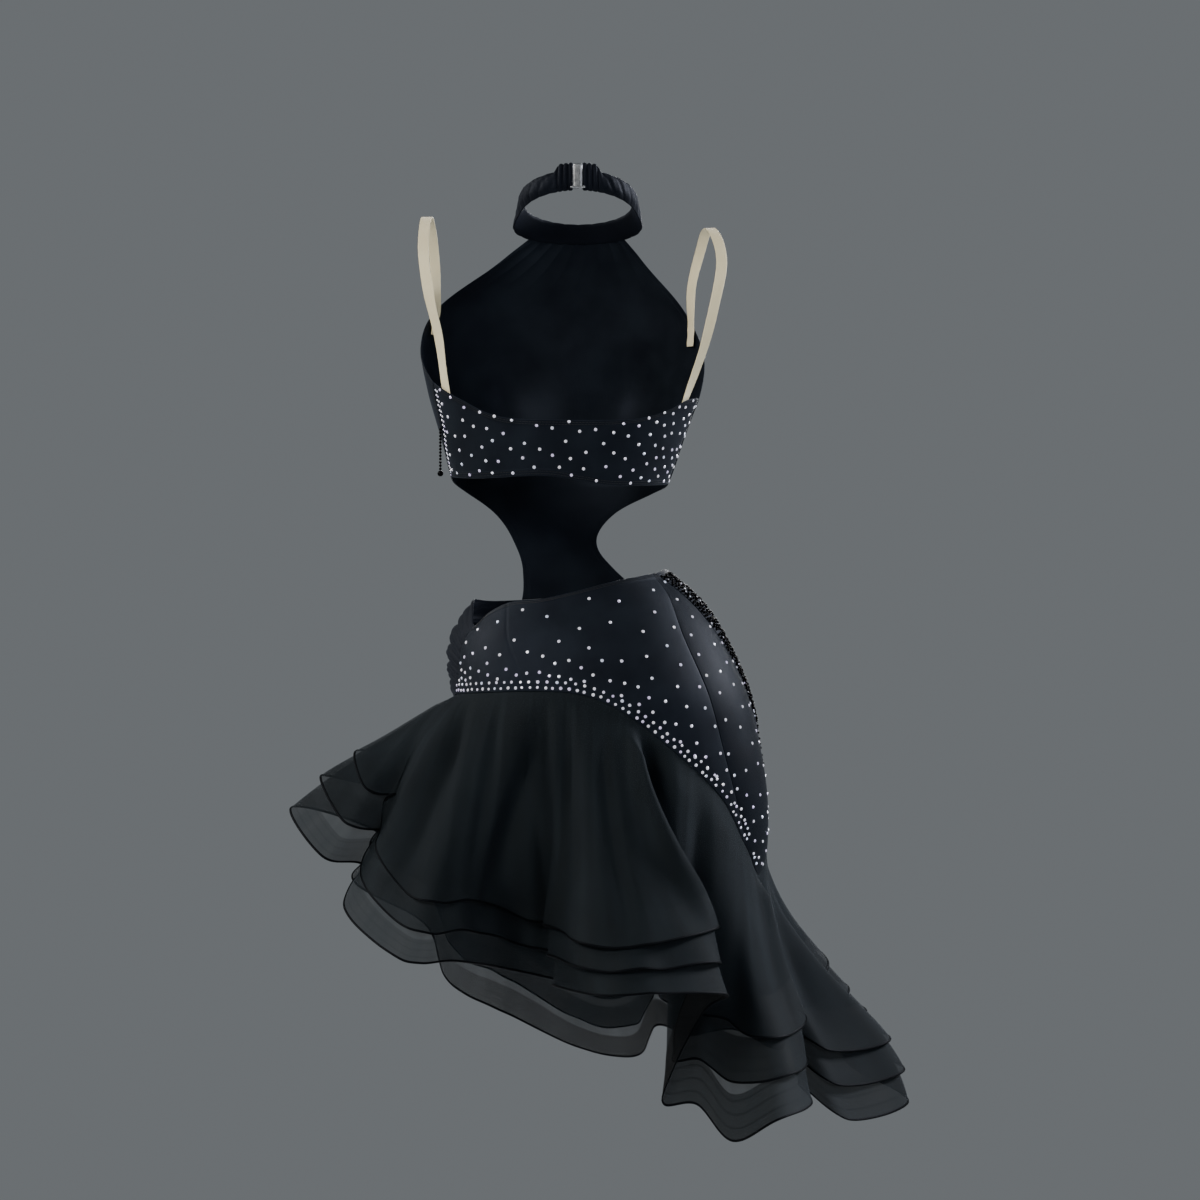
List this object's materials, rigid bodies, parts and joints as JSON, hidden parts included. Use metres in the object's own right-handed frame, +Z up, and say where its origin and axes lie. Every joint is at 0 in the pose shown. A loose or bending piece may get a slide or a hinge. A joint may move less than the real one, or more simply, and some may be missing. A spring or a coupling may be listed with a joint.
{
  "type": "salsa dance dress",
  "caption": "Halter dance dress with a bare back, waist cut-outs, shoulder straps, ruched hip drape and a tiered asymmetric organza skirt, in its worn form.",
  "frame": {"origin": "middle of the neck, at the height where the halter collar holds the dress", "axes": "+Z up the body; the back of the dress faces -Y and its front +Y; +X towards the wearer's right"},
  "size_m": [0.6694, 0.5775, 1.0396],
  "materials": {
    "black jersey": "matt stretch jersey with a soft sheen",
    "ruched jersey": "gathered stretch jersey with a soft sheen",
    "black organza": "sheer crisp organza",
    "skin-tone elastic": "matt woven elastic",
    "clasp metal": "nickel plate, brushed across the flat",
    "black beads": "glossy, opaque",
    "rhinestones": "faceted and foil-backed, with a faint rainbow coating"
  },
  "bodies": {
    "root": {"back_band": "black jersey", "bead_strand": "black beads", "clasp_frame": "clasp metal", "clasp_plate": "clasp metal", "collar": "ruched jersey", "front": "black jersey", "hip_band": "ruched jersey", "hip_drape": "ruched jersey", "ruffle_1_1": "black organza", "ruffle_1_2": "black organza", "ruffle_1_3": "black organza", "ruffle_1_4": "black organza", "ruffle_2_1": "black organza", "ruffle_2_2": "black organza", "ruffle_2_3": "black organza", "ruffle_2_4": "black organza", "ruffle_3_1": "black organza", "ruffle_3_2": "black organza", "ruffle_3_3": "black organza", "ruffle_3_4": "black organza", "skirt_back": "black jersey", "skirt_side": "black jersey", "strap_left": "skin-tone elastic", "strap_right": "skin-tone elastic"}
  },
  "joints": []
}
